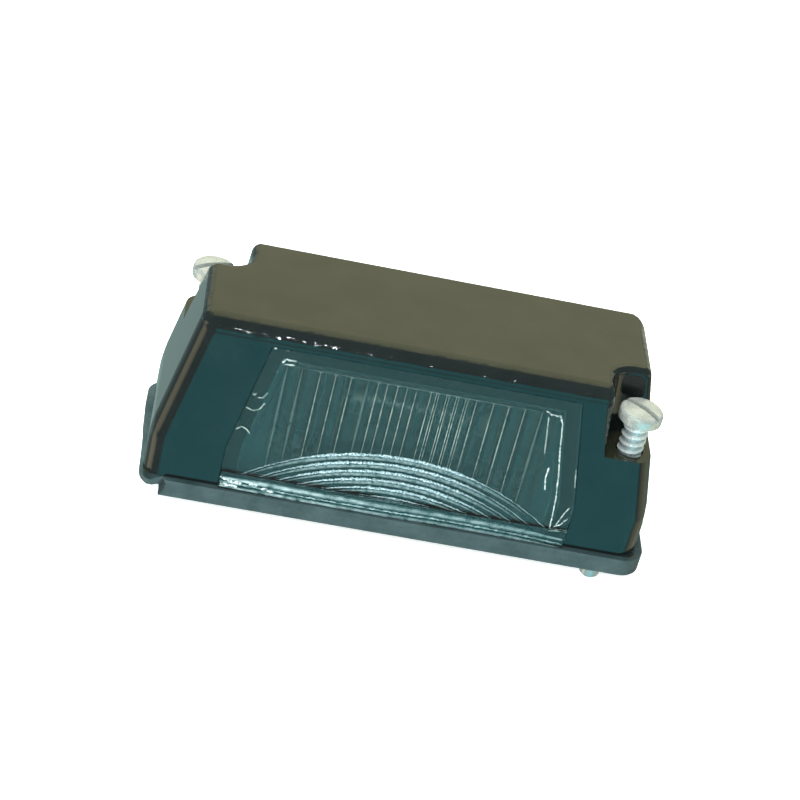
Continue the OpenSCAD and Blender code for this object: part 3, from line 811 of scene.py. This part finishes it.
def lens_glass():
    lens = prism("glass", lens_outline(0, FOOT_Z), LENS_Y, FLANGE_BACK, "y")
    rim = FLANGE_W + LENS_GAP
    combine(lens, prism("pane", lens_outline(rim, FOOT_Z), LENS_Y + 0.3, PANE_BACK, "y"), "UNION")
    edge = prism("edge", lens_outline(rim, FOOT_Z), PANE_BACK - 0.3, WALL_Y, "y")
    combine(edge, prism("inside", lens_outline(rim + RIM_T, FOOT_Z - 1), PANE_BACK - 1,
                        WALL_Y + 1, "y"), "DIFFERENCE")
    combine(lens, edge, "UNION")
    lip_top = FOOT_Z + LIP_H
    lip = prism("lip", [(-LENS_FOOT, FOOT_Z), (LENS_FOOT, FOOT_Z), (LENS_FOOT, lip_top),
                        (-LENS_FOOT, lip_top)], LENS_Y - LIP_OUT, LENS_Y + 0.3, "y")
    combine(lens, lip, "UNION")
    rings = fan_rings()
    comb = flute_comb()
    inner = prism("clear_of_rings", circle(0, FAN_Z, FAN_R - 0.4, 200), PANE_BACK - 1,
                  WALL_Y, "y")
    combine(comb, inner, "DIFFERENCE")
    combine(rings, comb, "UNION")
    within = prism("within", lens_outline(rim + RIM_T / 2, FOOT_Z), LENS_Y, WALL_Y, "y")
    combine(rings, within, "INTERSECT")
    combine(lens, rings, "UNION")
    return round_edges(lens, 0.12, 2, 50)


def make_lens(glass):
    groups = [[lens_glass()], line_beads(), faint_beads(), fan_beads(), white_beads(), lip_beads(),
              painted_lip_sheen(), painted_fan_sheen()]
    objects = [o for group in groups for o in group]
    slots = [i for i, group in enumerate(groups) for o in group]
    lens = join("lens_body", objects, slots)
    smooth(lens, 25)
    teal, shade = (0.03, 0.07, 0.07), (0.08, 0.15, 0.15)
    # Every slot after the glass is painted light: highlights, glints and sheen drawn in colour on low
    # ridges of the lens face.
    materials = [glass,
                 painted_glint("line_glint", shade, (0.40, 0.48, 0.44), 0.35, 0.6, 1.2),
                 painted_glint("faint_glint", teal, (0.07, 0.12, 0.115), 0.3, 0.7, 0.4),
                 painted_glint("fan_glint", (0.12, 0.19, 0.205), (0.54, 0.69, 0.74), 0.43, 0.6, 2.6,
                         (-4.0, 26.0)),
                 painted_glint("white_glint", shade, (0.72, 0.79, 0.77), 0.4, 0.6, 1.6),
                 painted_glint("lip_glint", shade, (0.30, 0.43, 0.46), 0.42, 0.62, 1.1, (-16.0, 44.0)),
                 painted_glint("painted_lip_sheen", (0.06, 0.10, 0.105), (0.36, 0.47, 0.48), 0.35, 0.68, 0.5,
                         (-37.0, 38.0)),
                 painted_glint("painted_fan_sheen", (0.06, 0.10, 0.105), (0.20, 0.27, 0.28), 0.35, 0.65, 1.2,
                         (-6.0, 26.0))]
    return finish_piece(lens, materials, "lens", "lens")


# Gasket

def pad_point(u, v):
    """A point of the gasket's plan, from a square grid to its round corners."""
    cx, cy = PAD_X - PAD_R, PAD_Y - PAD_R
    a, b = abs(u) - cx, abs(v) - cy
    if a <= 0 or b <= 0:
        return u, v
    r = max(a, b)
    angle = math.pi / 4 * (b / a if a >= b else 2 - a / b)
    return (math.copysign(cx + r * math.cos(angle), u), math.copysign(cy + r * math.sin(angle), v))


def grid_lines(half, fine, coarse, reach=PAD_R):
    """Places along one side of the pad, close together near its ends."""
    edge = half - reach
    n = int(round(2 * edge / coarse))
    middle = [-edge + 2 * edge * k / n for k in range(n + 1)]
    steps = int(round(reach / fine))
    low = [-half + reach * k / steps for k in range(steps)]
    return low + middle + [-x for x in reversed(low)]


def pad_slab(name, z0, z1, shift):
    """A slab of the gasket's plan on a fine grid; shift moves each point."""
    xs, ys = grid_lines(PAD_X, 0.4, 2.0, 8.0), grid_lines(PAD_Y, 0.5, 1.1)
    nx, ny = len(xs), len(ys)
    points, faces = [], []
    for z in (z0, z1):
        for y in ys:
            for x in xs:
                px, py = pad_point(x, y)
                points.append(shift(px, py, z))
    layer = nx * ny
    for j in range(ny - 1):
        for i in range(nx - 1):
            a = j * nx + i
            square = (a, a + 1, a + nx + 1, a + nx)
            faces += [square, tuple(layer + k for k in square)]
    border = (list(range(nx - 1)) + [j * nx + nx - 1 for j in range(ny - 1)]
              + [(ny - 1) * nx + i for i in range(nx - 1, 0, -1)]
              + [j * nx for j in range(ny - 1, 0, -1)])
    for k, a in enumerate(border):
        b = border[(k + 1) % len(border)]
        faces.append((a, b, layer + b, layer + a))
    return mesh_object(name, points, faces)


def ease(t):
    t = max(0.0, min(1.0, t))
    return t * t * (3 - 2 * t)


def pulled_in(x, y):
    """The pad's left end is drawn in, most of all at the front."""
    share = max(0.0, min(1.0, (13.0 - y) / 28.0))
    return x + (PULL_FAR + (PULL_NEAR - PULL_FAR) * share) * ease((-x - 46.0) / 8.0)


def body_shape(x, y, z):
    drawn = UNDERCUT * ease((4.0 - y) / 8.0) * ease((-x - 50.0) / 4.0)
    return pulled_in(x, y) + drawn, y, z


def lip_shape(x, y, z):
    """The lip's torn corner is short at the front, thin beside the strip and hangs down."""
    torn = ease((-x - TEAR_X) / 0.9)
    edge = -SIDE_Y - 0.1
    near_y = edge + (y - edge) * (1 - 0.9 * torn) if y < edge else y
    thin = math.exp(-((x + CREASE_X) / 0.8) ** 2) * ease((-15.5 - y) / 1.5)
    low = PAD_T - LIP_T
    if z < PAD_T:
        z = low + (LIP_T - 0.12) * thin
    reach = (-x - 49.0) * 0.35 + (-y - 15.0) * 0.2
    return pulled_in(x, y), near_y, z - DROOP * ease((reach - 0.4) / 1.25)


def pad_holes(slab):
    low = (-OPENING_X, OPENING_MID - OPENING_Y)
    high = (OPENING_X, OPENING_MID + OPENING_Y)
    combine(slab, prism("opening", rounded_rectangle(low, high, 4.0), -2, PAD_T + 2), "DIFFERENCE")
    for s in (1, -1):
        hole = prism("hole", circle(s * SCREW_X, s * SCREW_Y, HOLE_R), -2, PAD_T + 2)
        combine(slab, hole, "DIFFERENCE")
    return slab


def torn_corner():
    """The piece of the pad's body that is missing, with a hollow edge."""
    plan = [(-60, -24), (-60, -12.8), (-52.6, -13.2), (-50.3, -14.2), (-49.0, -15.6),
            (-CREASE_X, -24)]
    cut = prism("cut", plan, -2, PAD_T - LIP_T + 0.3)
    hollow = prism("hollow", circle(-50.2, 2.1, 2.4, 32), -24, -14.6, "y")
    return combine(cut, hollow, "UNION")


def make_gasket(material):
    body = pad_slab("body", 0, PAD_T - LIP_T + 0.05, body_shape)
    combine(body, torn_corner(), "DIFFERENCE")
    lip = pad_slab("lip", PAD_T - LIP_T, PAD_T, lip_shape)
    gasket = join("gasket_pad", [round_edges(pad_holes(s), 0.25, 3, 50) for s in (body, lip)])
    smooth(gasket, 40)
    return finish_piece(gasket, [material], "gasket", "base_gasket")


# Screws

def ridge(t):
    """Height of the thread over one turn, from 0 to 1."""
    return max(0.0, 1 - abs(t % 1.0 - 0.5) / THREAD_FLANK)


def threaded_shank(z0, z1):
    turn_steps, rows = THREAD_SIDES, int((z1 - z0) / THREAD_PITCH * THREAD_ROWS)
    points, faces = [(0, 0, z0)], []
    for j in range(rows + 1):
        z = z0 + (z1 - z0) * j / rows
        fade = min(1.0, (z - z0) / RUN_OUT)
        for k in range(turn_steps):
            a = 2 * math.pi * k / turn_steps
            height = min(1, ridge((z - z0) / THREAD_PITCH - k / turn_steps) * THREAD_CREST)
            r = ROOT_R + (SCREW_R - ROOT_R) * fade * height
            points.append((r * math.cos(a), r * math.sin(a), z))
    points.append((0, 0, z1))
    for k in range(turn_steps):
        m = (k + 1) % turn_steps
        faces.append((0, 1 + k, 1 + m))
        for j in range(rows):
            a, b = 1 + j * turn_steps, 1 + (j + 1) * turn_steps
            faces.append((a + k, a + m, b + m, b + k))
        last = 1 + rows * turn_steps
        faces.append((last + k, last + m, len(points) - 1))
    return mesh_object("shank", points, faces)


def screw_head(turn):
    profile = [(0, 0), (HEAD_R - 0.3, 0), (HEAD_R - 0.08, 0.1), (HEAD_R, 0.35),
               (HEAD_R, HEAD_H - HEAD_ROUND - 0.35)]
    for k in range(1, 9):
        a = math.radians(90 * k / 8)
        profile.append((HEAD_R - HEAD_ROUND * (1 - math.cos(a)),
                        HEAD_H - HEAD_ROUND - 0.35 + HEAD_ROUND * math.sin(a)))
    profile += [(HEAD_R * 0.55, HEAD_H - 0.12), (HEAD_R * 0.25, HEAD_H - 0.02), (0, HEAD_H)]
    head = lathe("head", profile)
    slot = prism("slot", [(-9, -SLOT_W / 2), (9, -SLOT_W / 2), (9, SLOT_W / 2), (-9, SLOT_W / 2)],
                 HEAD_H - SLOT_D, HEAD_H + 2)
    combine(head, place(slot, turn=turn), "DIFFERENCE")
    return round_edges(head, 0.12, 2, 45)


def make_screw(name, node, lift, turn, side, material):
    under_head = NOTCH_Z + lift
    tip = under_head - SCREW_LEN
    shank = threaded_shank(tip + PILOT_LEN, under_head + 0.1)
    pilot = lathe("pilot", [(0, tip), (PILOT_R - TAPER, tip), (PILOT_R, tip + TAPER),
                            (PILOT_R, tip + PILOT_LEN + 0.1), (0, tip + PILOT_LEN + 0.1)], 48)
    head = place(screw_head(turn), z=under_head)
    screw = join(name, [shank, pilot, head])
    place(screw, SCREW_X, SCREW_Y)
    if side < 0:
        place(screw, turn=180)
    smooth(screw, 40, weighted=False)
    return finish_piece(screw, [material], "screw", node)


# Inner pieces keep their solids and get their finish here

def dress(nodes, material):
    for name in nodes:
        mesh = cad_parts[name].data
        mesh.materials.clear()
        mesh.materials.append(material)
        mesh.set_sharp_from_angle(angle=math.radians(35))


def dress_inner_pieces():
    dress(("lens_seal",), plastic("seal_rubber", (0.03, 0.036, 0.034), (0.05, 0.056, 0.052),
                                  (0.6, 0.8)))
    dress(("base_plate",), plastic("plate_plastic", (0.012, 0.013, 0.014), (0.03, 0.031, 0.032)))
    # Painted shade: the reflector, the spring contacts and the bulb caps get darkened colours that
    # stand in for the shade inside the closed hood.
    dress(("reflector",), metal("shade_darkened_sheet", (0.02, 0.035, 0.035), (0.03, 0.05, 0.05), (0.5, 0.65)))
    dress(("reflector_rivet_left", "reflector_rivet_right", "contact_rivet_left",
           "contact_rivet_right"), metal("rivet_metal", (0.3, 0.3, 0.3), (0.5, 0.5, 0.5)))
    dress(("contact_left", "contact_right"), metal("spring_brass", (0.12, 0.09, 0.05),
                                                   (0.2, 0.15, 0.08)))
    dress(("terminal_left", "terminal_right"), metal("blade_brass", (0.5, 0.36, 0.16),
                                                     (0.72, 0.56, 0.28)))
    dress(("bulb_cap_left", "bulb_cap_right"), metal("cap_metal", (0.06, 0.065, 0.06),
                                                     (0.11, 0.115, 0.1)))
    dress(("bulb_filament",), metal("wire", (0.2, 0.2, 0.2), (0.35, 0.35, 0.35)))
    dress(("bulb_glass",), clear("bulb_clear", (0.96, 0.98, 0.98), (0.0, 0.04), ior=1.2))
    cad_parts["bulb_glass"].visible_shadow = False


# Setting, light and camera

def add_floor():
    material, tree, shader = new_material("studio_floor")
    shader.inputs["Base Color"].default_value = (0.9, 0.9, 0.9, 1)
    shader.inputs["Roughness"].default_value = 0.9
    shader.inputs["Specular IOR Level"].default_value = 0.1
    shader.inputs["Emission Color"].default_value = (1, 1, 1, 1)
    shader.inputs["Emission Strength"].default_value = 0.55
    reach = 3000
    floor = mesh_object("floor", [(-reach, -reach, FLOOR_Z), (reach, -reach, FLOOR_Z),
                                  (reach, reach, FLOOR_Z), (-reach, reach, FLOOR_Z)],
                        [(0, 1, 2, 3)], material)
    floor.visible_glossy = False
    floor.visible_transmission = False


def add_area(name, at, aim, size, power, colour):
    data = bpy.data.lights.new(name, "AREA")
    data.shape = "RECTANGLE"
    data.size, data.size_y = size[0] * MM, size[1] * MM
    data.energy = power
    data.color = colour
    light = bpy.data.objects.new(name, data)
    bpy.context.scene.collection.objects.link(light)
    light.location = Vector(at) * MM
    light.rotation_mode = "QUATERNION"
    light.rotation_quaternion = (Vector(aim) - Vector(at)).to_track_quat("-Z", "Y")
    return light


def lobe(tree, where, direction, full, none):
    """1 within an angle of a direction, falling to 0 at a wider one."""
    node = tree.nodes.new("ShaderNodeVectorMath")
    node.operation = "DOT_PRODUCT"
    tree.links.new(where, node.inputs[0])
    node.inputs[1].default_value = Vector(direction).normalized()
    return spread(tree, node.outputs["Value"], math.cos(math.radians(none)),
                  math.cos(math.radians(full)), 0, 1)


def add_world():
    """A dim studio with soft coloured cards around it, which the gloss picks up."""
    world = bpy.data.worlds.new("room")
    bpy.context.scene.world = world
    world.use_nodes = True
    tree = world.node_tree
    where = tree.nodes.new("ShaderNodeTexCoord").outputs["Generated"]
    colour = None
    for direction, full, none, value in ROOM_CARDS:
        node = tree.nodes.new("ShaderNodeMix")
        node.data_type = "RGBA"
        node.inputs["A"].default_value = (*ROOM_DIM, 1)
        if colour:
            tree.links.new(colour, node.inputs["A"])
        node.inputs["B"].default_value = (*value, 1)
        tree.links.new(lobe(tree, where, direction, full, none), node.inputs["Factor"])
        colour = node.outputs["Result"]
    tree.links.new(colour, tree.nodes["Background"].inputs["Color"])
    tree.nodes["Background"].inputs["Strength"].default_value = 1.0


def add_camera():
    data = bpy.data.cameras.new("camera")
    data.sensor_width = 36
    data.lens = FOCAL
    data.clip_start, data.clip_end = 0.01, 20
    camera = bpy.data.objects.new("camera", data)
    bpy.context.scene.collection.objects.link(camera)
    camera.matrix_world = Matrix(CAMERA_PLACE)
    bpy.context.scene.camera = camera


def add_lights():
    overhead = add_area("overhead", (-150, 100, 700), (0, 0, 20), (500, 400), 9, (1, 0.99, 0.96))
    front = add_area("front", (-250, -600, 350), (0, 0, 20), (300, 300), 5, (0.94, 1, 1))
    for x, power in FLASHES:
        add_area("flash", (x, -420, 330), (0, 0, 20), (5, 5), power, (0.86, 0.95, 1))
    for light in (overhead, front):
        light.visible_glossy = False


def build():
    make_hood(gloss_black())
    make_lens(clear("lens_clear", (0.66, 0.73, 0.71), (0.08, 0.2), through=0.98))
    make_gasket(rubber())
    make_screw("screw_front", "fixing_screw_front", FRONT_LIFT, FRONT_TURN, 1,
               plated_steel(1, NOTCH_Z + FRONT_LIFT))
    make_screw("screw_rear", "fixing_screw_rear", REAR_LIFT, REAR_TURN, -1,
               plated_steel(-1, NOTCH_Z + REAR_LIFT))
    dress_inner_pieces()
    add_floor()
    add_lights()
    add_world()
    add_camera()
    view = bpy.context.scene.view_settings
    view.view_transform = "Standard"
    view.look = "None"


build()
